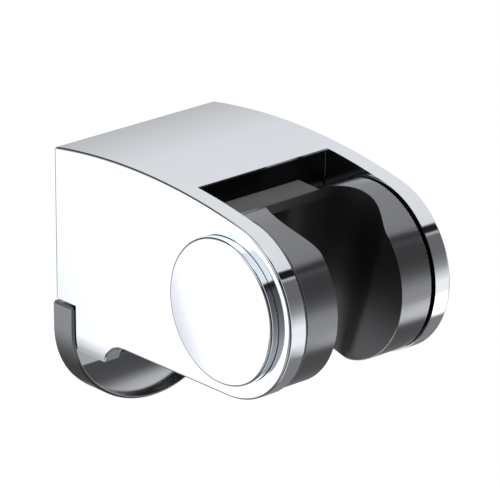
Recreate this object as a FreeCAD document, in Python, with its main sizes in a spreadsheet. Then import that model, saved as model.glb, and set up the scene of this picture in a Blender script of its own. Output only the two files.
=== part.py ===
import FreeCAD, Part
import math
import os
from collections import namedtuple
from types import SimpleNamespace

import Sketcher

# A wall bracket that holds a hand shower. A chrome housing slides down over a plate on the wall.
# A grey holder with a slotted cone turns between its two cheeks, on a screw in each cheek.
# Frame: X runs left to right, the wall is the plane Y = 0, the front is -Y, and Z is up.
# The origin lies on the wall, midway between the two wall screws' holes.

os.makedirs("parts", exist_ok=True)
doc = FreeCAD.newDocument("shower_wall_bracket")
Vector = FreeCAD.Vector

# Driving dimensions in millimetres and degrees. A reach is measured out from the wall.
DIMENSIONS = {
    # housing: side outline
    "top_height": 23.5,
    "top_bow_radius": 160,
    "pivot_reach": 56.8,
    "pivot_height": 2.5,
    "end_radius": 19.6,
    "hump_radius": 7,
    "chin_reach": 15.8,
    "chin_height": -21.9,
    "notch_reach": 6.9,
    "notch_height": -11.3,
    # housing: width, walls and window
    "housing_width": 46,
    "cheek_wall": 4.5,
    "top_wall": 2.6,
    "edge_radius": 0.7,
    "window_reach": 41.5,
    "lip_wall": 2.2,
    "lip_height": 18.1,
    "window_bevel": 0.4,
    "rail_width": 2.4,
    "rail_depth": 2.4,
    "rail_bottom": -9,
    "post_radius": 3.3,
    "post_inset": 7.4,
    "post_reach": 25,
    "post_top": -3,
    # wall plate
    "plate_thickness": 6.5,
    "plate_overhang": 0.6,
    "plate_bottom": -38.7,
    "arch_margin": 2.6,
    "arch_sag": 2,
    "plate_gap": 0.6,
    "plate_edge": 0.5,
    "plate_rim": 0.6,
    "scoop_radius": 30,
    "scoop_depth": 2,
    "scoop_height": -36.5,
    "tongue_thickness": 5,
    "tongue_clearance": 0.3,
    "boss_reach": 24,
    "boss_width": 20,
    "boss_height": 12,
    "screw_spacing": 25,
    "screw_hole": 4.5,
    "screw_head_hole": 9.2,
    "screw_seat": 3,
    # inner cover between the cheeks
    "cover_clearance": 0.3,
    "cover_wall": 2,
    "cover_inset": 0.6,
    "bay_clearance": 1.1,
    "bay_top_angle": 138,
    "bay_bottom_angle": 190,
    "cover_front_reach": 30,
    "cover_rear_reach": 7.4,
    "pillar_radius": 4.2,
    "lock_reach": 11.8,
    "lock_top": 4,
    # holder
    "drum_radius": 19.2,
    "drum_gap": 0.6,
    "slot_width": 18.4,
    "cone_top_radius": 12.4,
    "cone_bottom_radius": 10.6,
    "holder_tilt": 15,
    "holder_edge": 0.4,
    "lip_depth": 2.2,
    "lip_start": 116,
    "ledge_height": 2.5,
    "ledge_end": 133,
    "ledge_right": 6.2,
    # pivots
    "recess_depth": 1.2,
    "cap_radius": 16.2,
    "cap_clearance": 0.15,
    "cap_stand": 2.2,
    "cap_dome": 0.8,
    "cap_wall": 1.4,
    "cap_edge": 0.8,
    "pocket_radius": 7,
    "pocket_depth": 2.4,
    "running_fit": 0.05,
    "bush_radius": 4.2,
    "shoulder_radius": 3,
    "washer_thickness": 0.8,
    "washer_radius": 5.6,
    "spring_height": 1,
    "spring_thickness": 0.4,
    "screw_head_radius": 5.2,
    "screw_head_height": 1.7,
    "insert_radius": 3.2,
    "insert_length": 4,
    "insert_depth": 0.5,
    "ring_inner_radius": 8,
    "ring_outer_radius": 12,
    "ring_recess": 0.7,
    # small metric screws
    "thread_radius": 1.95,
    "socket_width": 2.5,
    "socket_depth": 1.3,
    "lock_thread_radius": 1.45,
    "lock_head_radius": 2.7,
    "lock_head_height": 2.4,
    "nut_width": 5.5,
    "nut_height": 2.4,
    "cover_screw_radius": 1.45,
    "cover_screw_head": 2.7,
    "cover_screw_height": 1.7,
    "cover_screw_length": 8,
}

sheet = doc.addObject("Spreadsheet::Sheet", "Sizes")
for row, (alias, number) in enumerate(DIMENSIONS.items(), start=1):
    sheet.set(f"A{row}", alias)
    sheet.set(f"B{row}", str(number))
    sheet.setAlias(f"B{row}", alias)
doc.recompute()


class Size:
    """A size that carries its value and the sheet formula that gives it."""

    def __init__(self, value, formula):
        self.value = value
        self.formula = formula

    def __add__(self, other):
        other = size(other)
        return Size(self.value + other.value, f"({self.formula} + {other.formula})")

    def __sub__(self, other):
        other = size(other)
        return Size(self.value - other.value, f"({self.formula} - {other.formula})")

    def __mul__(self, other):
        other = size(other)
        return Size(self.value * other.value, f"({self.formula} * {other.formula})")

    def __truediv__(self, other):
        other = size(other)
        return Size(self.value / other.value, f"({self.formula} / {other.formula})")

    def __neg__(self):
        return Size(-self.value, f"(0 - {self.formula})")

    __radd__ = __add__
    __rmul__ = __mul__

    def __rsub__(self, other):
        return size(other) - self


def size(number):
    return number if isinstance(number, Size) else Size(float(number), str(float(number)))


def root(square):
    return Size(math.sqrt(square.value), f"sqrt({square.formula})")


def cosine(angle):
    return Size(math.cos(math.radians(angle.value)), f"cos({angle.formula} * 1deg)")


def sine(angle):
    return Size(math.sin(math.radians(angle.value)), f"sin({angle.formula} * 1deg)")


s = SimpleNamespace(**{alias: Size(number, f"Sizes.{alias}") for alias, number in DIMENSIONS.items()})

# Places that several pieces share.
half_width = s.housing_width / 2
inner_half = half_width - s.cheek_wall
drum_half = inner_half - s.drum_gap
arm_height = s.pivot_height - s.end_radius
hump_run = root(s.hump_radius * s.hump_radius
                - (s.hump_radius - (arm_height - s.chin_height))
                * (s.hump_radius - (arm_height - s.chin_height)))
recess_floor = half_width - s.recess_depth
pocket_floor = half_width - s.pocket_depth
spring_seat = pocket_floor + s.running_fit + s.washer_thickness
head_seat = spring_seat + s.spring_height
insert_face = drum_half - s.insert_depth
plate_top = s.notch_height - s.plate_gap
plate_half = half_width + s.plate_overhang
arch_height = s.plate_bottom + plate_half - s.arch_margin
plate_corner = plate_half - s.arch_margin - s.arch_sag
bay_radius = s.drum_radius + s.bay_clearance
boss_half_height = s.boss_height / 2
hump_reach = s.chin_reach + hump_run
hump_height = arm_height - s.hump_radius
pivot = (s.pivot_reach, s.pivot_height)
cover_floor = arm_height + s.cover_inset
cover_chin = s.chin_height + s.cover_inset

# An arc of an outline: it runs the short way round its centre, between the corners beside it.
Bend = namedtuple("Bend", ["centre", "radius"])


def bow_centre():
    """Centre of the top's bow: it starts at the wall and runs into the round front end."""
    rise = s.top_height - s.pivot_height
    distance = root(s.pivot_reach * s.pivot_reach + rise * rise)
    inner = s.top_bow_radius - s.end_radius
    along = ((s.top_bow_radius * s.top_bow_radius - inner * inner + distance * distance)
             / (2 * distance))
    across = root(s.top_bow_radius * s.top_bow_radius - along * along)
    reach = (along * s.pivot_reach - across * rise) / distance
    height = s.top_height - (along * rise + across * s.pivot_reach) / distance
    return reach, height


def bind(target, name, amount):
    target.setExpression(name, size(amount).formula)


def new_body(label, reach=None, height=None, turn=None):
    """A body, placed at a reach and a height, turned about X or Z."""
    body = doc.addObject("PartDesign::Body", label)
    body.Label = label
    if reach is not None:
        bind(body, "Placement.Base.y", -reach)
        bind(body, "Placement.Base.z", height)
    if turn is not None:
        axis, angle = turn
        body.Placement = FreeCAD.Placement(body.Placement.Base, FreeCAD.Rotation(axis, size(angle).value))
        bind(body, "Placement.Rotation.Angle", angle)
    return body


def new_sketch(body, name, plane, offset=None):
    """side: reach and height, at an X. front: X and Z, at a reach. plan: X and Y, at a height."""
    role = {"side": "YZ_Plane", "front": "XZ_Plane", "plan": "XY_Plane"}[plane]
    support = next(item for item in body.Origin.OriginFeatures if item.Role == role)
    sketch = body.newObject("Sketcher::SketchObject", name)
    sketch.AttachmentSupport = [(support, "")]
    sketch.MapMode = "FlatFace"
    turn = 180 if plane == "side" else 0
    sketch.AttachmentOffset = FreeCAD.Placement(Vector(), FreeCAD.Rotation(Vector(0, 1, 0), turn))
    if offset is not None:
        bind(sketch, "AttachmentOffset.Base.z", offset)
    return sketch


def point(x, y):
    return Vector(size(x).value, size(y).value, 0)


def dimension(sketch, kind, *rest):
    """One driving dimension: its last argument is the size that it takes."""
    amount = size(rest[-1])
    number = sketch.addConstraint(Sketcher.Constraint(kind, *rest[:-1], amount.value))
    sketch.setExpression(f"Constraints[{number}]", amount.formula)


def lock(sketch, geometry, corner, x, y):
    dimension(sketch, "DistanceX", -1, 1, geometry, corner, x)
    dimension(sketch, "DistanceY", -1, 1, geometry, corner, y)


def bend_between(sketch, start, bend, end):
    """An arc of an outline, with the numbers of its first and last ends."""
    centre = point(*bend.centre)
    first = point(*start) - centre
    last = point(*end) - centre
    forward = first.cross(last).z > 0
    angles = [math.atan2(arm.y, arm.x) for arm in ((first, last) if forward else (last, first))]
    if angles[1] <= angles[0]:
        angles[1] += 2 * math.pi
    ring = Part.Circle(centre, Vector(0, 0, 1), bend.radius.value)
    arc = sketch.addGeometry(Part.ArcOfCircle(ring, *angles))
    dimension(sketch, "Radius", arc, bend.radius)
    return (arc, 1, 2) if forward else (arc, 2, 1)


def outline(sketch, places):
    """A closed outline through dimensioned corners, straight but where a bend stands between two."""
    corners = []
    bends = {}
    for place in places:
        if isinstance(place, Bend):
            bends[len(corners) - 1] = place
        else:
            corners.append(place)
    pieces = []
    for number, (start, end) in enumerate(zip(corners, corners[1:] + corners[:1])):
        if number in bends:
            pieces.append(bend_between(sketch, start, bends[number], end))
        else:
            line = sketch.addGeometry(Part.LineSegment(point(*start), point(*end)))
            pieces.append((line, 1, 2))
    for piece, following, corner in zip(pieces, pieces[1:] + pieces[:1], corners):
        sketch.addConstraint(
            Sketcher.Constraint("Coincident", piece[0], piece[2], following[0], following[1]))
        lock(sketch, piece[0], piece[1], *corner)


def rectangle(sketch, left, right, low, high):
    outline(sketch, [(left, low), (right, low), (right, high), (left, high)])


def circle(sketch, x, y, radius):
    ring = sketch.addGeometry(Part.Circle(point(x, y), Vector(0, 0, 1), size(radius).value))
    lock(sketch, ring, 3, x, y)
    dimension(sketch, "Radius", ring, radius)


def extrude(kind, body, sketch, length, both=False, reverse=False):
    feature = body.newObject(kind, f"{sketch.Name}_{kind.split('::')[1]}")
    feature.Profile = sketch
    feature.Midplane = both
    feature.Reversed = reverse
    bind(feature, "Length", length)
    doc.recompute()
    return feature


def pad(body, sketch, length, both=False, reverse=False):
    return extrude("PartDesign::Pad", body, sketch, length, both, reverse)


def pocket(body, sketch, length, both=False, reverse=False):
    before = body.Shape.Volume
    feature = extrude("PartDesign::Pocket", body, sketch, length, both, reverse)
    if body.Shape.Volume >= before:
        raise ValueError(f"{feature.Name} cuts nothing")
    return feature


def turned(kind, body, sketch, axis):
    before = body.Shape.Volume if kind == "PartDesign::Groove" else None
    feature = body.newObject(kind, f"{sketch.Name}_{kind.split('::')[1]}")
    feature.Profile = sketch
    feature.ReferenceAxis = (sketch, [axis])
    feature.Angle = 360
    doc.recompute()
    if before is not None and body.Shape.Volume >= before:
        raise ValueError(f"{feature.Name} cuts nothing")
    return feature


def revolve(body, sketch, axis):
    return turned("PartDesign::Revolution", body, sketch, axis)


def groove(body, sketch, axis):
    return turned("PartDesign::Groove", body, sketch, axis)


def dress(kind, body, amount, choose):
    """Fillet or chamfer the edges of the body that the test picks."""
    names = [f"Edge{number}" for number, edge in enumerate(body.Shape.Edges, start=1) if choose(edge)]
    if not names:
        raise ValueError(f"{body.Label}: no edge to dress")
    base = body.Tip
    feature = body.newObject(kind, f"{body.Name}_{kind.split('::')[1]}")
    feature.Base = (base, names)
    bind(feature, "Radius" if kind.endswith("Fillet") else "Size", amount)
    doc.recompute()
    return feature


def middle(edge):
    return edge.valueAt((edge.FirstParameter + edge.LastParameter) / 2)


def near(first, second, tolerance=0.01):
    return abs(first - size(second).value) < tolerance


def side_profile(sketch):
    """The housing's side: notch for the wall plate, chin, hump, arm, round end and bowed top."""
    centre_reach, centre_height = bow_centre()
    share = s.end_radius / (s.top_bow_radius - s.end_radius)
    crown = (s.pivot_reach + (s.pivot_reach - centre_reach) * share,
             s.pivot_height + (s.pivot_height - centre_height) * share)
    outline(sketch, [
        (0, s.top_height),
        (0, s.notch_height),
        (s.notch_reach, s.notch_height),
        (s.notch_reach, s.chin_height),
        (s.chin_reach, s.chin_height),
        Bend((hump_reach, hump_height), s.hump_radius),
        (hump_reach, arm_height),
        (s.pivot_reach, arm_height),
        Bend(pivot, s.end_radius),
        crown,
        Bend((centre_reach, centre_height), s.top_bow_radius),
    ])


def arch(sketch, half, top, shoulder, bottom, corner):
    """A flat-topped outline with a round bottom: two corner arcs and a bottom arc, all tangent."""
    drop = shoulder - bottom
    inset = half - corner
    base = (inset * inset + drop * drop - corner * corner) / (2 * (drop - corner))
    share = corner / (base - corner)
    touch = inset + inset * share
    touch_height = shoulder + (drop - base) * share
    outline(sketch, [
        (-half, top),
        (-half, shoulder),
        Bend((-inset, shoulder), corner),
        (-touch, touch_height),
        Bend((0, bottom + base), base),
        (touch, touch_height),
        Bend((inset, shoulder), corner),
        (half, shoulder),
        (half, top),
    ])


def make_housing():
    """Chrome-plated moulding: a bowed top, two cheeks with round ends, open below and behind."""
    body = new_body("housing")
    profile = new_sketch(body, "housing_side", "side")
    side_profile(profile)
    pad(body, profile, s.housing_width, both=True)

    def on_outline(edge):
        spot = middle(edge)
        if abs(edge.tangentAt(edge.FirstParameter).x) > 0.5:
            return near(spot.y, 0) and near(spot.z, s.top_height)
        if not near(abs(spot.x), half_width):
            return False
        curved = edge.Curve.TypeId == "Part::GeomCircle"
        return curved or near(spot.z, arm_height) or near(spot.y, 0)

    dress("PartDesign::Fillet", body, s.edge_radius, on_outline)

    # the chins follow the round bottom of the wall plate
    corners = new_sketch(body, "chin_corners", "front")
    arch(corners, half_width, s.top_height + s.top_wall, arch_height,
         s.plate_bottom + s.plate_overhang, plate_corner - s.plate_overhang)
    frame = s.housing_width
    rectangle(corners, -frame, frame, -frame, frame)
    pocket(body, corners, s.chin_reach + s.hump_radius, reverse=True)

    # the bay between the cheeks takes the holder
    bay = new_sketch(body, "bay", "side")
    rectangle(bay, s.window_reach, s.pivot_reach + 2 * s.end_radius, -s.housing_width, s.housing_width)
    pocket(body, bay, 2 * inner_half, both=True)

    # the cavity behind it is open to the wall and below, with a lip left at the window
    cavity = new_sketch(body, "cavity", "side")
    centre_reach, centre_height = bow_centre()
    radius = s.top_bow_radius - s.top_wall
    lip_rear = s.window_reach - s.lip_wall

    def under_top(reach):
        return centre_height + root(radius * radius - (reach - centre_reach) * (reach - centre_reach))

    deep = -s.housing_width
    behind = -s.top_wall
    past = s.window_reach + s.lip_wall
    outline(cavity, [
        (behind, under_top(behind)),
        (behind, deep),
        (past, deep),
        (past, s.lip_height),
        (lip_rear, s.lip_height),
        (lip_rear, under_top(lip_rear)),
        Bend((centre_reach, centre_height), radius),
    ])
    pocket(body, cavity, 2 * inner_half, both=True)

    def window_edge(edge):
        spot = middle(edge)
        return (near(-spot.y, s.window_reach) and spot.z > s.lip_height.value + 0.5
                and abs(edge.tangentAt(edge.FirstParameter).x) > 0.99)

    dress("PartDesign::Chamfer", body, s.window_bevel, window_edge)

    # two rails behind the cheeks hook over the wall plate's tongue
    rails = new_sketch(body, "rails", "front", s.tongue_thickness + s.tongue_clearance)
    for side in (-1, 1):
        outer = side * (inner_half + s.top_wall)
        inner = side * (inner_half - s.rail_width)
        rectangle(rails, outer, inner, s.rail_bottom, s.top_height - s.top_wall / 2)
    pad(body, rails, s.rail_depth)

    # two posts take the screws of the inner cover
    floor_top = cover_floor + s.cover_wall
    posts = new_sketch(body, "posts", "plan", floor_top + s.cover_clearance)
    holes = new_sketch(body, "post_holes", "plan", floor_top)
    for side in (-1, 1):
        circle(posts, side * (half_width - s.post_inset), -s.post_reach, s.post_radius)
        circle(holes, side * (half_width - s.post_inset), -s.post_reach, s.cover_screw_radius)
    pad(body, posts, s.post_top - floor_top - s.cover_clearance)
    pocket(body, holes, s.cover_screw_length + s.cover_clearance, reverse=True)

    # round recess for each cap, pocket for the screw's head and bore for the bush
    for name, radius, depth in (
            ("cap_recess", s.cap_radius + s.cap_clearance, s.recess_depth),
            ("head_pocket", s.pocket_radius, s.pocket_depth),
            ("bush_bore", s.bush_radius + s.running_fit, s.cheek_wall)):
        for side, start in (("left", -half_width), ("right", half_width)):
            hole = new_sketch(body, f"{side}_{name}", "side", start)
            circle(hole, s.pivot_reach, s.pivot_height, radius)
            pocket(body, hole, depth, reverse=side == "right")
    return body


def make_wall_plate():
    """Grey moulding screwed to the wall: round-bottomed plate, tongue behind the housing, boss."""
    body = new_body("wall_plate")

    def plate_outline(sketch, inside):
        arch(sketch, plate_half - inside, plate_top - inside, arch_height,
             s.plate_bottom + inside, plate_corner - inside)

    field = new_sketch(body, "plate_field", "front")
    plate_outline(field, s.plate_rim)
    pad(body, field, s.plate_thickness)

    # below the housing the field is scooped hollow, and a narrow rim stands round it
    scoop = new_sketch(body, "plate_scoop", "side")
    scoop_centre = s.plate_thickness - s.scoop_depth + s.scoop_radius
    scoop_reach = s.scoop_radius - s.scoop_depth
    rise = root(s.scoop_radius * s.scoop_radius - scoop_reach * scoop_reach)
    ahead = s.plate_thickness + s.scoop_depth
    outline(scoop, [
        (s.plate_thickness, s.scoop_height + rise),
        Bend((scoop_centre, s.scoop_height), s.scoop_radius),
        (s.plate_thickness, s.scoop_height - rise),
        (ahead, s.scoop_height - rise),
        (ahead, s.scoop_height + rise),
    ])
    pocket(body, scoop, 2 * plate_half, both=True)
    rim = new_sketch(body, "plate_rim", "front")
    plate_outline(rim, size(0))
    plate_outline(rim, s.plate_rim)
    pad(body, rim, s.plate_thickness)

    def front_rim(edge):
        spot = middle(edge)
        level = abs(edge.tangentAt(edge.FirstParameter).y) < 0.01
        aside = math.hypot(abs(spot.x) - (plate_half - plate_corner).value,
                           spot.z - arch_height.value)
        outermost = (near(abs(spot.x), plate_half) or near(spot.z, s.plate_bottom)
                     or near(spot.z, plate_top) or near(aside, plate_corner))
        return near(-spot.y, s.plate_thickness) and level and outermost

    def top_corner(edge):
        spot = middle(edge)
        return near(spot.z, plate_top) and abs(spot.x) > half_width.value

    dress("PartDesign::Chamfer", body, s.plate_edge, front_rim)
    dress("PartDesign::Chamfer", body, s.plate_edge, top_corner)

    tongue = new_sketch(body, "tongue", "front")
    tongue_half = inner_half - s.tongue_clearance
    rectangle(tongue, -tongue_half, tongue_half, plate_top - s.top_wall,
              s.top_height - s.top_wall - s.tongue_clearance)
    pad(body, tongue, s.tongue_thickness)

    boss = new_sketch(body, "boss", "front")
    rectangle(boss, -s.boss_width / 2, s.boss_width / 2, -boss_half_height, boss_half_height)
    pad(body, boss, s.boss_reach)

    # wall screws: a clear hole each, with room for the head
    clear = new_sketch(body, "wall_screw_holes", "front")
    heads = new_sketch(body, "wall_screw_heads", "front", s.screw_seat)
    for side in (-1, 1):
        circle(clear, 0, side * s.screw_spacing / 2, s.screw_hole / 2)
        circle(heads, 0, side * s.screw_spacing / 2, s.screw_head_hole / 2)
    pocket(body, clear, s.plate_thickness, reverse=True)
    pocket(body, heads, s.plate_thickness, reverse=True)

    # the lock screw comes up into the boss and finds its nut in a slot open to the front
    bore = new_sketch(body, "lock_bore", "plan", -boss_half_height)
    circle(bore, 0, -s.lock_reach, s.lock_thread_radius + 3 * s.running_fit)
    pocket(body, bore, boss_half_height + s.lock_top + s.cover_clearance, reverse=True)
    slot = new_sketch(body, "nut_slot", "front", s.lock_reach - s.nut_width / math.sqrt(3) - s.running_fit)
    slot_half = s.nut_width / 2 + s.running_fit
    rectangle(slot, -slot_half, slot_half, -s.nut_height / 2 - s.running_fit,
              s.nut_height / 2 + s.running_fit)
    pocket(body, slot, s.boss_reach, reverse=True)
    return body


def make_inner_cover():
    """Grey moulding between the cheeks: a round wall behind the holder, then the housing's floor."""
    body = new_body("inner_cover")
    profile = new_sketch(body, "cover_side", "side")
    outer = bay_radius + s.cover_wall
    under = s.hump_radius + s.cover_inset
    over = under + s.cover_wall
    hump = (hump_reach, hump_height)

    def bay_point(radius, angle):
        return s.pivot_reach + radius * cosine(angle), s.pivot_height + radius * sine(angle)

    def bend_reach(radius, height):
        rise = height - hump_height
        return hump_reach - root(radius * radius - rise * rise)

    chin_top = cover_chin + s.cover_wall
    floor_top = cover_floor + s.cover_wall
    outline(profile, [
        bay_point(bay_radius, s.bay_top_angle),
        Bend(pivot, bay_radius),
        bay_point(bay_radius, s.bay_bottom_angle),
        (s.cover_front_reach, cover_floor),
        (hump_reach, cover_floor),
        Bend(hump, under),
        (bend_reach(under, cover_chin), cover_chin),
        (s.cover_rear_reach, cover_chin),
        (s.cover_rear_reach, chin_top),
        (bend_reach(over, chin_top), chin_top),
        Bend(hump, over),
        (hump_reach, floor_top),
        (s.cover_front_reach - s.cover_wall / 2, floor_top),
        bay_point(outer, s.bay_bottom_angle),
        Bend(pivot, outer),
        bay_point(outer, s.bay_top_angle),
    ])
    pad(body, profile, 2 * (inner_half - s.cover_clearance), both=True)

    # the lock screw's pillar stands under the wall plate's boss
    pillar = new_sketch(body, "pillar", "plan", cover_chin)
    circle(pillar, 0, -s.lock_reach, s.pillar_radius)
    pad(body, pillar, -boss_half_height - s.cover_clearance - cover_chin)
    bore = new_sketch(body, "pillar_bore", "plan", cover_chin)
    circle(bore, 0, -s.lock_reach, s.lock_thread_radius + 3 * s.running_fit)
    pocket(body, bore, -cover_chin, reverse=True)
    head = new_sketch(body, "pillar_head", "plan", cover_chin)
    circle(head, 0, -s.lock_reach, s.lock_head_radius + s.cover_clearance)
    pocket(body, head, s.lock_head_height + s.cover_clearance, reverse=True)

    # holes for the two screws that hold the cover to the housing's posts
    holes = new_sketch(body, "cover_holes", "plan", cover_chin)
    seats = new_sketch(body, "cover_seats", "plan", cover_chin)
    for side in (-1, 1):
        place = (side * (half_width - s.post_inset), -s.post_reach)
        circle(holes, *place, s.cover_screw_radius + s.cover_clearance)
        circle(seats, *place, s.cover_screw_head + s.cover_clearance)
    pocket(body, holes, floor_top + s.cover_wall - cover_chin, reverse=True)
    pocket(body, seats, floor_top - s.cover_wall / 2 - cover_chin, reverse=True)
    return body


def make_holder():
    """Grey turning holder: a drum with a conical seat, slotted at the front for the hose."""
    body = new_body("holder", s.pivot_reach, s.pivot_height, (Vector(1, 0, 0), s.holder_tilt))
    drum = new_sketch(body, "drum", "side")
    circle(drum, 0, 0, s.drum_radius)
    pad(body, drum, 2 * drum_half, both=True)
    dress("PartDesign::Fillet", body, s.holder_edge,
          lambda edge: edge.Closed and near(abs(middle(edge).x), drum_half))

    past = s.drum_radius + s.ledge_height
    seat = new_sketch(body, "cone_seat", "front")
    slope = (s.cone_top_radius - s.cone_bottom_radius) / (2 * s.drum_radius)
    middle_radius = (s.cone_top_radius + s.cone_bottom_radius) / 2
    outline(seat, [(0, -past), (middle_radius - slope * past, -past),
                   (middle_radius + slope * past, past), (0, past)])
    groove(body, seat, "V_Axis")

    slot = new_sketch(body, "hose_slot", "front")
    rectangle(slot, -s.slot_width / 2, s.slot_width / 2, -past, past)
    pocket(body, slot, past, reverse=True)

    def polar(radius, angle):
        return radius * cosine(angle), radius * sine(angle)

    # a lip closes the rear of the mouth with a straight edge
    lip_floor = s.drum_radius - s.lip_depth
    lip = new_sketch(body, "mouth_lip", "side")
    outline(lip, [
        polar(s.drum_radius, s.lip_start),
        Bend((0, 0), s.drum_radius),
        polar(s.drum_radius, s.ledge_end),
        polar(lip_floor, s.ledge_end),
        Bend((0, 0), lip_floor),
        polar(lip_floor, s.lip_start),
    ])
    pad(body, lip, 2 * s.cone_top_radius, both=True)

    # the ledge rises behind it on the left, and stops against the inner cover's upper edge
    ledge = new_sketch(body, "ledge", "side", s.ledge_right)
    outline(ledge, [
        polar(s.drum_radius, s.lip_start),
        polar(past, s.ledge_end),
        polar(lip_floor, s.ledge_end),
        polar(lip_floor, s.lip_start),
    ])
    pad(body, ledge, drum_half + s.ledge_right - s.holder_edge)

    # each side: a hole for the screw and its insert, and a round groove for the friction ring
    sides = new_sketch(body, "side_holes", "plan")
    for side in (-1, 1):
        rectangle(sides, side * (insert_face - s.insert_length), side * (drum_half + s.drum_gap),
                  0, s.insert_radius + s.running_fit)
        rectangle(sides, side * (drum_half - s.ring_recess), side * (drum_half + s.drum_gap),
                  s.ring_inner_radius - s.running_fit, s.ring_outer_radius + s.running_fit)
    groove(body, sides, "H_Axis")
    return body


def pivot_body(label, side):
    """A body at the pivot whose +X points out of the left or the right cheek."""
    turn = 180 if side == "left" else 0
    return new_body(f"{side}_{label}", s.pivot_reach, s.pivot_height, (Vector(0, 0, 1), turn))


def turned_piece(label, side, corners):
    """A piece turned about the pivot axis from an outline of (distance out, radius) corners."""
    body = pivot_body(label, side)
    sketch = new_sketch(body, f"{side}_{label}_section", "plan")
    outline(sketch, corners)
    revolve(body, sketch, "H_Axis")
    return body


def tube(start, end, inner, outer):
    return [(start, inner), (end, inner), (end, outer), (start, outer)]


def make_cap(side):
    """Chrome-plated domed cap with a thin wall and a ring that plugs into the cheek's pocket."""
    body = pivot_body("cap", side)
    section = new_sketch(body, f"{side}_cap_section", "plan")
    face = half_width + s.cap_stand
    apex = face + s.cap_dome
    inner_face = apex - s.cap_wall
    ring_inner = s.screw_head_radius + 2 * s.cap_clearance
    ring_outer = s.pocket_radius - s.cap_clearance
    seat = recess_floor + s.running_fit
    ring_end = spring_seat
    inside = s.cap_radius - s.cap_wall
    inner_rim = face - s.cap_wall
    dome = (s.cap_radius * s.cap_radius + s.cap_dome * s.cap_dome) / (2 * s.cap_dome)
    outline(section, [
        (inner_face, 0),
        (inner_face, ring_inner),
        (ring_end, ring_inner),
        (ring_end, ring_outer),
        (inner_rim, ring_outer),
        (inner_rim, inside),
        (seat, inside),
        (seat, s.cap_radius),
        (face, s.cap_radius),
        Bend((apex - dome, 0), dome),
        (apex, 0),
    ])
    revolve(body, section, "H_Axis")

    def face_edge(edge):
        spot = middle(edge)
        out = abs(spot.x)
        return near(out, face, 0.05) and near(edge.BoundBox.ZLength, 2 * s.cap_radius, 0.1)

    dress("PartDesign::Fillet", body, s.cap_edge, face_edge)
    return body


def hexagon(sketch, x, y, width):
    """A hexagon across flats, with two corners on its vertical axis."""
    reach = width / 2
    tall = width / math.sqrt(3)
    outline(sketch, [(x + reach, y - tall / 2), (x + reach, y + tall / 2), (x, y + tall),
                     (x - reach, y + tall / 2), (x - reach, y - tall / 2), (x, y - tall)])


def make_pivot_screw(side):
    """Steel shoulder screw: thread in the holder's insert, shoulder in the bush, hex socket."""
    tip = insert_face - s.insert_length + s.running_fit
    shoulder = insert_face + s.running_fit
    head_end = head_seat + s.screw_head_height
    body = turned_piece("pivot_screw", side, [
        (tip, 0), (tip, s.thread_radius), (shoulder, s.thread_radius),
        (shoulder, s.shoulder_radius), (head_seat, s.shoulder_radius),
        (head_seat, s.screw_head_radius), (head_end, s.screw_head_radius), (head_end, 0)])
    socket = new_sketch(body, f"{side}_socket", "side", head_end)
    hexagon(socket, 0, 0, s.socket_width)
    pocket(body, socket, s.socket_depth, reverse=True)
    return body


def make_pivots(side):
    """The pieces that carry the holder in one cheek, from the holder outwards."""
    ring_floor = drum_half - s.ring_recess + s.running_fit
    turned_piece("insert", side, tube(insert_face - s.insert_length, insert_face,
                                      s.thread_radius + s.running_fit, s.insert_radius))
    turned_piece("friction_ring", side, tube(ring_floor, inner_half - s.running_fit,
                                             s.ring_inner_radius, s.ring_outer_radius))
    turned_piece("bush", side, tube(inner_half, pocket_floor,
                                    s.shoulder_radius + s.running_fit, s.bush_radius))
    washer_start = pocket_floor + s.running_fit
    turned_piece("washer", side, tube(washer_start, spring_seat,
                                      s.shoulder_radius + s.running_fit, s.washer_radius))
    inner = s.shoulder_radius + 2 * s.running_fit
    outer = s.screw_head_radius
    turned_piece("disc_spring", side, [
        (head_seat - s.spring_thickness, inner), (head_seat, inner),
        (spring_seat + s.spring_thickness, outer), (spring_seat, outer)])
    make_pivot_screw(side)
    make_cap(side)


def make_lock_screw():
    """Steel screw that comes up from below and locks the housing to the wall plate."""
    body = new_body("lock_screw", s.lock_reach, cover_chin)
    section = new_sketch(body, "lock_screw_section", "front")
    top = s.lock_top - cover_chin
    start = s.cover_clearance / 2
    seat = start + s.lock_head_height
    outline(section, [(0, start), (s.lock_head_radius, start), (s.lock_head_radius, seat),
                      (s.lock_thread_radius, seat), (s.lock_thread_radius, top), (0, top)])
    revolve(body, section, "V_Axis")
    socket = new_sketch(body, "lock_socket", "plan", start)
    hexagon(socket, 0, 0, s.socket_width)
    pocket(body, socket, s.socket_depth, reverse=True)
    return body


def make_lock_nut():
    """Steel hexagon nut held in the slot of the wall plate's boss."""
    body = new_body("lock_nut", s.lock_reach, size(0))
    section = new_sketch(body, "nut_section", "plan")
    hexagon(section, 0, 0, s.nut_width)
    circle(section, 0, 0, s.lock_thread_radius + s.running_fit)
    pad(body, section, s.nut_height, both=True)
    return body


def make_cover_screws():
    """Two small steel screws that hold the inner cover up against the housing's posts."""
    body = new_body("cover_screws")
    seat = cover_floor + s.cover_wall / 2
    heads = new_sketch(body, "cover_screw_heads", "plan", seat - s.cover_screw_height)
    shanks = new_sketch(body, "cover_screw_shanks", "plan", seat - s.cover_screw_height / 2)
    for side in (-1, 1):
        place = (side * (half_width - s.post_inset), -s.post_reach)
        circle(heads, *place, s.cover_screw_head)
        circle(shanks, *place, s.cover_screw_radius - s.running_fit)
    pad(body, heads, s.cover_screw_height)
    pad(body, shanks, s.cover_screw_length + s.cover_screw_height / 2)
    return body


make_housing()
make_wall_plate()
make_inner_cover()
make_holder()
for cheek in ("left", "right"):
    make_pivots(cheek)
make_lock_screw()
make_lock_nut()
make_cover_screws()
doc.recompute()

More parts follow.
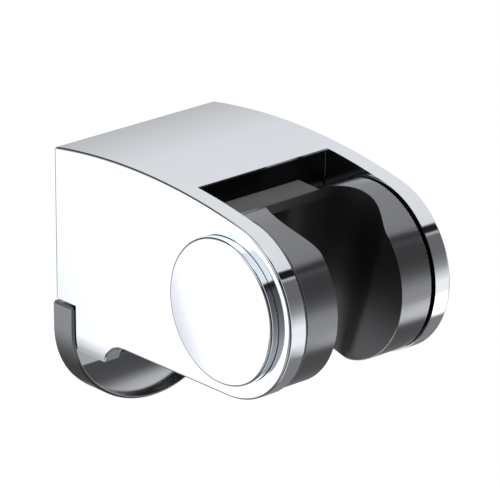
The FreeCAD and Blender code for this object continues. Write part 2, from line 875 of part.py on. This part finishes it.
for item in doc.Objects:
    if "Invalid" in item.State or "Error" in item.State:
        raise ValueError(f"{item.Name}: {item.State}")
pieces = [item for item in doc.Objects if item.TypeId == "PartDesign::Body"]
for piece in pieces:
    if piece.Shape.isNull() or not piece.Shape.isValid():
        raise ValueError(f"{piece.Label}: bad shape")
    print(piece.Label, len(piece.Shape.Solids), round(piece.Shape.Volume, 1))
for piece in pieces:
    piece.Shape.exportStep(f"parts/{piece.Label}.step")
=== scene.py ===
import math

import bmesh
import bpy
from mathutils import Matrix, Vector


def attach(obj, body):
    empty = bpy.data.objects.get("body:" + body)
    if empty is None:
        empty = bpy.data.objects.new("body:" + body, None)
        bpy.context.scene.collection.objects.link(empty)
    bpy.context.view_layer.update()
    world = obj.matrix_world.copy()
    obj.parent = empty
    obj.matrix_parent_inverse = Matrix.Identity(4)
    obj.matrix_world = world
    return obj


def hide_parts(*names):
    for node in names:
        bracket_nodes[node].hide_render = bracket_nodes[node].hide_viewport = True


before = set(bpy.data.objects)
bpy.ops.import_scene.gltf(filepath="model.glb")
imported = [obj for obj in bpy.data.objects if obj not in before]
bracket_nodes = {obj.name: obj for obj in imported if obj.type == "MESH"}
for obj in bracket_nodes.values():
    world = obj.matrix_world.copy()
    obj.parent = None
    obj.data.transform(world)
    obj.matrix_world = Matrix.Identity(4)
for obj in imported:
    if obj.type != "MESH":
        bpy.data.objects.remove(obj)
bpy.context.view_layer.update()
bpy.ops.object.select_all(action="DESELECT")


# Housing: one ABS moulding, copper and nickel plated and then bright chromed all over. It
# hooks over the wall plate's tongue and carries the pivots in its two cheeks.

weld_gap = 0.000002
flat_angle = math.radians(0.4)
sharp_angle = math.radians(32)


def new_finish(name):
    finish = bpy.data.materials.new(name)
    finish.use_nodes = True
    return finish


def wire_up(finish, step_name, inputs):
    """Give a step of a finish its inputs: values, or the outputs of other steps."""
    step = finish.node_tree.nodes[step_name]
    for socket, given in inputs.items():
        if isinstance(given, bpy.types.NodeSocket):
            finish.node_tree.links.new(given, step.inputs[socket])
        else:
            step.inputs[socket].default_value = given


def add_step(finish, kind, inputs, operation=None):
    step = finish.node_tree.nodes.new(kind)
    if operation:
        step.operation = operation
    wire_up(finish, step.name, inputs)
    return step


def own_place(finish):
    return add_step(finish, "ShaderNodeTexCoord", {}).outputs["Object"]


def cloudy(finish, place, scale, detail=2.0):
    return add_step(finish, "ShaderNodeTexNoise",
                    {"Vector": place, "Scale": scale, "Detail": detail}).outputs["Fac"]


def graded(finish, value, source, target):
    """A value carried over from the range source to the range target."""
    return add_step(finish, "ShaderNodeMapRange", {
        "Value": value, "From Min": source[0], "From Max": source[1],
        "To Min": target[0], "To Max": target[1]}).outputs["Result"]


def blended(finish, first, second, share):
    return add_step(finish, "ShaderNodeMixRGB",
                    {"Color1": first, "Color2": second, "Fac": share}).outputs["Color"]


def two_tone(finish, pattern, colour, darker):
    """A colour that a pattern takes down to the share darker of it."""
    return blended(finish, (*colour, 1), (*[darker * part for part in colour], 1), pattern)


def relief(finish, pattern, strength, depth):
    return add_step(finish, "ShaderNodeBump",
                    {"Height": pattern, "Strength": strength, "Distance": depth}).outputs["Normal"]


def plated_finish(name, colour, roughness, haze, peel, shaded_hollow=None):
    """Bright plating with faint wipe haze and orange peel. In a hollow its colour is darkened as
    painted shade, and it turns dull there.

    The hollow lies less than its radius from a line along X through its middle, and less than
    its half width from the plane between the cheeks. It fades in over fade_depth.
    """
    finish = new_finish(name)
    place = own_place(finish)
    wipe = cloudy(finish, place, scale=38.0, detail=5.0)
    tone = two_tone(finish, wipe, colour, darker=0.96)
    gloss = graded(finish, wipe, (0.35, 0.75), (roughness, roughness + haze))
    if shaded_hollow:
        fade_depth = 0.00015
        centred = add_step(finish, "ShaderNodeVectorMath",
                           {0: place, 1: (0, *shaded_hollow["middle"])}, "SUBTRACT")
        flat = add_step(finish, "ShaderNodeVectorMath",
                        {0: centred.outputs["Vector"], 1: (0, 1, 1)}, "MULTIPLY")
        away = add_step(finish, "ShaderNodeVectorMath", {0: flat.outputs["Vector"]}, "LENGTH")
        split = add_step(finish, "ShaderNodeSeparateXYZ", {"Vector": place})
        aside = add_step(finish, "ShaderNodeMath", {0: split.outputs["X"]}, "ABSOLUTE")
        depths = [graded(finish, step.outputs["Value"], (edge - fade_depth, edge), (1.0, 0.0))
                  for step, edge in ((away, shaded_hollow["radius"]), (aside, shaded_hollow["half_width"]))]
        painted_shade = add_step(finish, "ShaderNodeMath", {0: depths[0], 1: depths[1]}, "MULTIPLY")
        dull_gloss = (shaded_hollow["roughness"],) * 3
        # painted shade: in the hollow the plating's colour is blended to a dark colour
        tone = blended(finish, tone, (*shaded_hollow["colour"], 1), painted_shade.outputs["Value"])
        gloss = blended(finish, gloss, (*dull_gloss, 1), painted_shade.outputs["Value"])
    skin = cloudy(finish, place, scale=900.0)
    wire_up(finish, "Principled BSDF", {
        "Metallic": 1.0, "Base Color": tone, "Roughness": gloss,
        "Normal": relief(finish, skin, strength=peel, depth=0.00002)})
    return finish


def joined_copy(name):
    """A copy of a node's mesh with its loose facets joined, open in edit mode."""
    bpy.ops.object.select_all(action="DESELECT")
    moulding = bracket_nodes[name].copy()
    moulding.data = bracket_nodes[name].data.copy()
    moulding.name = f"{name}_moulding"
    bpy.context.scene.collection.objects.link(moulding)
    moulding.select_set(True)
    bpy.context.view_layer.objects.active = moulding
    bpy.ops.object.mode_set(mode="EDIT")
    bpy.ops.mesh.select_all(action="SELECT")
    bpy.ops.mesh.remove_doubles(threshold=weld_gap)
    bpy.ops.mesh.customdata_custom_splitnormals_clear()
    return moulding


def eased_moulding(moulding, name, body, finish, ease):
    """Leave edit mode, ease the sharp edges as a mould does, and stand in for the node."""
    bpy.ops.object.mode_set(mode="OBJECT")
    edges = moulding.modifiers.new("edges", "BEVEL")
    edges.width = ease
    edges.segments = 3
    edges.limit_method = "ANGLE"
    edges.angle_limit = sharp_angle
    edges.miter_outer = "MITER_ARC"
    bpy.ops.object.modifier_apply(modifier="edges")
    bpy.ops.object.shade_smooth_by_angle(angle=sharp_angle)
    lean = moulding.modifiers.new("lean", "WEIGHTED_NORMAL")
    lean.keep_sharp = True
    lean.weight = 90
    bpy.ops.object.modifier_apply(modifier="lean")
    moulding.data.materials.clear()
    moulding.data.materials.append(finish)
    moulding.select_set(False)
    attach(moulding, body)
    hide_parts(name)


pivot_reach, pivot_height, end_radius = 0.0568, 0.0025, 0.0196
bow_reach, bow_height, bow_radius = 0.025728, -0.13442, 0.16
side_place, rounding = 0.023, 0.0007
top_start, underside_start = 0.0005, 0.02244
side_slack, row_slack, arc_slack = 0.000002, 0.000005, 0.00002

# inside the housing, between its cheeks and under its top, the chrome's colour is painted dark as
# painted shade
bright_chrome = plated_finish(
    "bright_chrome", colour=(0.868, 0.903, 0.955), roughness=0.045, haze=0.03, peel=0.12,
    shaded_hollow={"colour": (0.02, 0.02, 0.022), "roughness": 0.35,
            "middle": (-bow_reach, bow_height), "radius": 0.1593, "half_width": 0.01855})


def on_rim(spot):
    """On the rounded edge between a side and the top, the round end or the underside."""
    if abs(spot.x) < side_place - rounding - row_slack:
        return False
    reach = -spot.y
    if reach > pivot_reach:
        from_pivot = math.hypot(reach - pivot_reach, spot.z - pivot_height)
        return from_pivot > end_radius - rounding - arc_slack
    if spot.z > 0:
        from_bow = math.hypot(reach - bow_reach, spot.z - bow_height)
        return reach > top_start and from_bow > bow_radius - rounding - arc_slack
    return spot.z < pivot_height - end_radius + rounding + arc_slack and reach > underside_start


housing = joined_copy("housing")
for side in (-1, 1):
    # the rounding is taken off and drawn again in even steps, which the chrome mirrors evenly
    bpy.ops.mesh.select_mode(type="FACE")
    bpy.ops.mesh.select_all(action="DESELECT")
    shell = bmesh.from_edit_mesh(housing.data)
    for face in shell.faces:
        spots = [corner.co for corner in face.verts]
        face.select = (all(on_rim(spot) and spot.x * side > 0 for spot in spots) and
                       any(abs(spot.x) < side_place - side_slack for spot in spots))
    bpy.ops.mesh.delete(type="FACE")
    bpy.ops.mesh.select_mode(type="EDGE")
    shell = bmesh.from_edit_mesh(housing.data)
    for edge in shell.edges:
        across = [abs(corner.co.x) for corner in edge.verts]
        edge.select = edge.is_boundary and (min(across) > side_place - side_slack or
                                            max(across) < side_place - rounding + row_slack)
    bpy.ops.mesh.bridge_edge_loops(number_cuts=6, interpolation="SURFACE", smoothness=0.55)
    bpy.ops.mesh.select_all(action="SELECT")
    bpy.ops.mesh.fill_holes(sides=0)
bpy.ops.mesh.dissolve_limited(angle_limit=flat_angle)
eased_moulding(housing, "housing", "bracket", bright_chrome, ease=0.00015)


# Caps: two round ABS covers with the same chrome plating as the housing, pressed into the
# recesses of its cheeks so that they hide the pivot screws and stand a little proud.

for side in ("left", "right"):
    cap = joined_copy(f"{side}_cap")
    bpy.ops.mesh.dissolve_limited(angle_limit=flat_angle)
    eased_moulding(cap, f"{side}_cap", "bracket", bright_chrome, ease=0.00012)


# Holder: the tilting drum with the conical seat, an ABS moulding with a dark, smoky plating.
# Its hose slot is open in front, and it turns on the two pivots.

# inside the seat and slot of the drum, the plating's colour is painted darker as painted shade, and
# it is made duller
dark_plating = plated_finish(
    "dark_plating", colour=(0.245, 0.25, 0.262), roughness=0.18, haze=0.04, peel=0.15,
    shaded_hollow={"colour": (0.105, 0.107, 0.112), "roughness": 0.42,
            "middle": (-pivot_reach, pivot_height), "radius": 0.01905, "half_width": 0.0178})

seat_radius, seat_taper, seat_lean = 0.0115, 0.046875, math.radians(15)
slot_half, drum_reach = 0.0092, 0.0188
nearest_wall, furthest_wall, wall_slack = 0.004, 0.0130, 0.00015
grid_step, grid_lines = 0.0009, 20
flow, flow_start = 0.0026, 0.003

holder = joined_copy("holder")
bpy.ops.mesh.dissolve_limited(angle_limit=flat_angle)
# the walls of seat and slot are cut in a fine grid
bpy.ops.mesh.select_mode(type="FACE")
for line in range(-grid_lines, grid_lines + 1):
    for cut, facing in (((0, -pivot_reach, pivot_height + line * grid_step), (0, 0, 1)),
                        ((0, -pivot_reach + line * grid_step, 0), (0, 1, 0))):
        bpy.ops.mesh.select_all(action="DESELECT")
        shell = bmesh.from_edit_mesh(holder.data)
        for face in shell.faces:
            spot = face.calc_center_median()
            from_pivot = math.hypot(spot.y + pivot_reach, spot.z - pivot_height)
            face.select = (nearest_wall < abs(spot.x) < furthest_wall and
                           abs(face.normal.z) < 0.5 and from_pivot < drum_reach)
        bpy.ops.mesh.bisect(plane_co=cut, plane_no=facing)
# near the line where cone and slot meet, the walls move outwards, most on the line itself, so
# that they flow into each other as moulded
shell = bmesh.from_edit_mesh(holder.data)
for corner in shell.verts:
    reach = -pivot_reach - corner.co.y
    height = corner.co.z - pivot_height
    along = height * math.cos(seat_lean) + reach * math.sin(seat_lean)
    in_front = reach * math.cos(seat_lean) - height * math.sin(seat_lean)
    cone_half = math.sqrt(max((seat_radius + seat_taper * along) ** 2 - in_front ** 2, 0))
    wall_half = max(cone_half, slot_half)
    if in_front > 0 and abs(abs(corner.co.x) - wall_half) < wall_slack:
        overlap = max(flow - abs(cone_half - slot_half), 0) / flow
        growth = min(in_front / flow_start, 1.0)
        corner.co.x += math.copysign(overlap ** 2 * flow / 4 * growth, corner.co.x)
bmesh.update_edit_mesh(holder.data)
eased_moulding(holder, "holder", "holder", dark_plating, ease=0.00018)

# the ledge behind the seat lies in the shade of the housing, and this shade is painted: its faces
# get a darker colour of the plating
ledge_foot = 0.01935
# painted shade: a darker, rougher plating for the ledge's faces
ledge_painted_shade = plated_finish(
    "ledge_painted_shade", colour=(0.075, 0.077, 0.082), roughness=0.3, haze=0.05, peel=0.15)
holder.data.materials.append(ledge_painted_shade)
for face in holder.data.polygons:
    if math.hypot(face.center.y + pivot_reach, face.center.z - pivot_height) > ledge_foot:
        face.material_index = 1


# Wall plate: an ABS moulding with the same dark plating as the holder. It is screwed to the
# wall, and the housing hooks over its tongue.

wall_plate = joined_copy("wall_plate")
bpy.ops.mesh.dissolve_limited(angle_limit=flat_angle)
eased_moulding(wall_plate, "wall_plate", "bracket", dark_plating, ease=0.00012)


# Inner cover: a moulding of plain black ABS, screwed to two posts from below. It closes the
# housing behind the drum and stays as it leaves the mould.

def moulded_finish(name, colour, roughness, grain):
    """Plain moulded plastic: soft gloss with the faint grain of the mould."""
    finish = new_finish(name)
    place = own_place(finish)
    cloud = cloudy(finish, place, scale=120.0, detail=4.0)
    pores = cloudy(finish, place, scale=2400.0)
    wire_up(finish, "Principled BSDF", {
        "Base Color": two_tone(finish, cloud, colour, darker=0.85),
        "Roughness": graded(finish, cloud, (0.0, 1.0), (roughness - 0.05, roughness + 0.08)),
        "Normal": relief(finish, pores, strength=grain, depth=0.00003)})
    return finish


def dress_node(name, finish):
    for slot in bracket_nodes[name].material_slots:
        slot.material = finish


black_moulding = moulded_finish("black_moulding", (0.016, 0.016, 0.018), roughness=0.38, grain=0.35)
dress_node("inner_cover", black_moulding)


# Pivots: on each side a shouldered steel screw turns in a nylon bush and is held in a brass
# insert of the drum. A washer, a disc spring and a nylon friction ring give the drum its grip.

def metal_finish(name, colour, roughness, marks, streak=(1.0, 1.0, 1.0)):
    """Machined or stamped metal with fine tool marks, which streak draws out."""
    finish = new_finish(name)
    drawn_out = add_step(finish, "ShaderNodeMapping",
                         {"Vector": own_place(finish), "Scale": streak}).outputs["Vector"]
    lines = cloudy(finish, drawn_out, scale=700.0, detail=3.0)
    wire_up(finish, "Principled BSDF", {
        "Metallic": 1.0,
        "Base Color": two_tone(finish, lines, colour, darker=0.8),
        "Roughness": graded(finish, lines, (0.0, 1.0), (roughness, roughness + 0.12)),
        "Normal": relief(finish, lines, strength=marks, depth=0.00002)})
    return finish


turned = (6.0, 1.0, 1.0)
screw_steel = metal_finish(
    "screw_steel", (0.62, 0.63, 0.65), roughness=0.2, marks=0.2, streak=turned)
spring_steel = metal_finish("spring_steel", (0.34, 0.35, 0.38), roughness=0.24, marks=0.2)
insert_brass = metal_finish(
    "insert_brass", (0.80, 0.60, 0.28), roughness=0.22, marks=0.25, streak=turned)
bush_nylon = moulded_finish("bush_nylon", (0.78, 0.76, 0.70), roughness=0.42, grain=0.2)

for side in ("left", "right"):
    dress_node(f"{side}_insert", insert_brass)
    dress_node(f"{side}_friction_ring", bush_nylon)
    dress_node(f"{side}_bush", bush_nylon)
    dress_node(f"{side}_washer", screw_steel)
    dress_node(f"{side}_disc_spring", spring_steel)
    dress_node(f"{side}_pivot_screw", screw_steel)


# Lock screw and cover screws: a steel screw and a square-edged steel nut pull the housing onto
# the wall plate from below. Two small screws hold the inner cover to its posts.

for fastener in ("lock_screw", "lock_nut", "cover_screws"):
    dress_node(fastener, screw_steel)


# Surround and floor: a white surround lights the bracket softly from all sides. A sheet of
# pale matt paper lies well below it, and the camera sees the paper a little brighter.

bpy.context.scene.view_settings.view_transform = "Standard"

surround = bpy.data.worlds.new("surround")
bpy.context.scene.world = surround
surround.use_nodes = True
background = surround.node_tree.nodes["Background"]
background.inputs["Color"].default_value = (1.0, 1.0, 1.0, 1)
background.inputs["Strength"].default_value = 1.0

floor_height, camera_lift = -0.32, 0.08
bpy.ops.mesh.primitive_plane_add(size=6.0, location=(0, 0, floor_height))
studio_floor = bpy.context.object
studio_floor.name = "studio_floor"
paper = new_finish("floor_paper")
seen_by = add_step(paper, "ShaderNodeLightPath", {})
lift = add_step(paper, "ShaderNodeMath",
                {0: seen_by.outputs["Is Camera Ray"], 1: camera_lift}, "MULTIPLY")
wire_up(paper, "Principled BSDF", {
    "Base Color": (0.94, 0.94, 0.94, 1), "Roughness": 0.9, "Specular IOR Level": 0.0,
    "Emission Color": (1.0, 1.0, 1.0, 1), "Emission Strength": lift.outputs["Value"]})
studio_floor.data.materials.append(paper)


# Tent: pale and dark cloths hung all round the bracket, which only the plating mirrors. Each
# cloth glows by its own brightness, and across, ahead and above run from -1 to 1 over the tent.

def glowing_cloth(name):
    cloth = new_finish(name)
    cloth.node_tree.nodes.remove(cloth.node_tree.nodes["Principled BSDF"])
    return cloth


def only_mirrored(cloth_piece):
    cloth_piece.visible_camera = False
    cloth_piece.visible_diffuse = False
    cloth_piece.visible_shadow = False


tent_radius = 0.29
bpy.ops.mesh.primitive_uv_sphere_add(segments=64, ring_count=32, radius=tent_radius,
                                     location=(0, -pivot_reach, pivot_height))
tent = bpy.context.object
tent.name = "studio_tent"
tent_cloth = glowing_cloth("tent_cloth")


def reckoned(operation, first, second):
    return add_step(tent_cloth, "ShaderNodeMath", {0: first, 1: second}, operation).outputs["Value"]


def shades(value, stops, limit=1.0):
    """Brightness along a value between -limit and limit, from stops of (value, brightness)."""
    spread = graded(tent_cloth, value, (-limit, limit), (0.0, 1.0))
    bands = add_step(tent_cloth, "ShaderNodeValToRGB", {"Fac": spread})
    ramp = bands.color_ramp
    ramp.elements.remove(ramp.elements[-1])
    for number, (place, level) in enumerate(stops):
        spot = (place + limit) / (2 * limit)
        stop = ramp.elements[0] if number == 0 else ramp.elements.new(spot)
        stop.position = spot
        stop.color = (level, level, level, 1)
    return bands.outputs["Color"]


tent_place = add_step(tent_cloth, "ShaderNodeSeparateXYZ", {"Vector": own_place(tent_cloth)})
across = reckoned("DIVIDE", tent_place.outputs["X"], tent_radius)
ahead = reckoned("DIVIDE", tent_place.outputs["Y"], -tent_radius)
above = reckoned("DIVIDE", tent_place.outputs["Z"], tent_radius)
round_angle = reckoned("MULTIPLY", reckoned("ARCTAN2", above, ahead), 180 / math.pi)

# right: pale cloths overhead, low behind and low in front, dark ones below and higher in front
right_bands = shades(round_angle, [
    (-180, 1.0), (-150, 1.0), (-140, 0.3), (-125, 0.10), (-71, 0.10), (-60, 0.11), (-54, 0.2),
    (-49, 0.45), (-43, 0.85), (-36, 0.97), (-19, 0.95), (-12, 0.7), (-9, 0.6), (-2, 0.33),
    (7, 0.2), (15, 0.145), (37.5, 0.145), (39, 0.42), (41, 0.42), (42, 0.01), (50.5, 0.01),
    (51.5, 0.75), (63, 0.8), (93, 0.82), (134, 0.8), (153, 0.75), (175, 0.45)], limit=180.0)
right_side = shades(across, [(0.25, 0.0), (0.45, 1.0)])
# left behind the bracket: pale cloth far out, darker towards the middle
left_side = shades(across, [(-0.57, 1.2), (-0.50, 0.85), (-0.42, 0.5), (-0.33, 0.25),
                            (-0.25, 0.15), (-0.12, 0.06), (0.0, 0.02)])
behind = shades(ahead, [(-0.4, 1.0), (-0.15, 0.0)])
# far left, but not behind: pale cloth overhead, a black edge under it and grey cloth below
overhead = shades(above, [(-0.5, 0.3), (-0.2, 0.2), (0.1, 0.12), (0.4, 0.09), (0.5, 0.02),
                          (0.55, 0.02), (0.58, 1.0)])
not_behind = shades(ahead, [(-0.65, 0.0), (-0.55, 1.0)])
far_left = shades(across, [(-0.56, 1.0), (-0.45, 0.0)])
# in front, a little right of the middle
front_strip = shades(across, [(0.0, 0.0), (0.12, 0.75), (0.3, 0.75), (0.45, 0.0)])
ahead_only = shades(ahead, [(0.05, 0.0), (0.2, 1.0)])
# straight up, furthest out to the left, and a grey one straight down
zenith = shades(above, [(0.87, 0.0), (0.93, 0.5)])
outer_left = shades(across, [(-0.93, 0.9), (-0.88, 0.0)])
beneath = shades(above, [(-0.7, 0.12), (-0.4, 0.0)])

brightness = reckoned("MULTIPLY", right_bands, right_side)
for cloth in (reckoned("MULTIPLY", left_side, behind),
              reckoned("MULTIPLY", reckoned("MULTIPLY", not_behind, overhead), far_left),
              reckoned("MULTIPLY", front_strip, ahead_only), zenith, outer_left, beneath):
    brightness = reckoned("ADD", brightness, cloth)
tent_glow = add_step(tent_cloth, "ShaderNodeEmission", {"Strength": brightness})
wire_up(tent_cloth, "Material Output", {"Surface": tent_glow.outputs["Emission"]})
tent.data.materials.append(tent_cloth)
only_mirrored(tent)


# Board: a small pale board on the right, low in front, which the wall plate mirrors. Its glow
# fades out from the middle, so that the plate shows a soft patch and no edge.

board_middle = Vector((0.136, -0.145, -0.107))
board_facing = Vector((-0.62, 0.70, 0.36))
full_reach, faded_reach = 0.016, 0.054
bpy.ops.mesh.primitive_plane_add(size=0.14, location=board_middle,
                                 rotation=board_facing.to_track_quat("Z", "Y").to_euler())
bpy.ops.object.transform_apply(location=True, rotation=True, scale=True)
board = bpy.context.object
board.name = "studio_board"
board_card = glowing_cloth("board_card")
from_middle = add_step(board_card, "ShaderNodeVectorMath",
                       {0: own_place(board_card), 1: board_middle}, "DISTANCE")
fade = add_step(board_card, "ShaderNodeMapRange", {
    "Value": from_middle.outputs["Value"], "From Min": full_reach, "From Max": faded_reach,
    "To Min": 1.0, "To Max": 0.0})
fade.interpolation_type = "SMOOTHSTEP"
clear = add_step(board_card, "ShaderNodeBsdfTransparent", {})
board_glow = add_step(board_card, "ShaderNodeEmission", {"Strength": 2.1})
card = add_step(board_card, "ShaderNodeMixShader", {
    0: fade.outputs["Result"], 1: clear.outputs["BSDF"], 2: board_glow.outputs["Emission"]})
wire_up(board_card, "Material Output", {"Surface": card.outputs["Shader"]})
board.data.materials.append(board_card)
only_mirrored(board)


# Camera: a long lens, in front of the bracket, to its left and a little above it, which looks
# at a point between wall and drum.

camera_azimuth = math.radians(-41.485)
camera_elevation = math.radians(20.874)
camera_distance = 1.1
camera_target = Vector((0, -0.035, -0.0045))
step_right, step_up = 0.001969, 0.007859
camera_right = Vector((math.cos(camera_azimuth), math.sin(camera_azimuth), 0))
camera_back = Vector((math.sin(camera_azimuth) * math.cos(camera_elevation),
                      -math.cos(camera_azimuth) * math.cos(camera_elevation),
                      math.sin(camera_elevation)))
camera_up = camera_back.cross(camera_right)

camera_data = bpy.data.cameras.new("product_camera")
camera_data.lens = 367.25
camera_data.sensor_width = 36.0
product_camera = bpy.data.objects.new("product_camera", camera_data)
bpy.context.scene.collection.objects.link(product_camera)
camera_spot = (camera_target + camera_back * camera_distance
               + camera_right * step_right + camera_up * step_up)
camera_turn = Matrix((camera_right, camera_up, camera_back)).transposed()
product_camera.matrix_world = Matrix.Translation(camera_spot) @ camera_turn.to_4x4()
bpy.context.scene.camera = product_camera
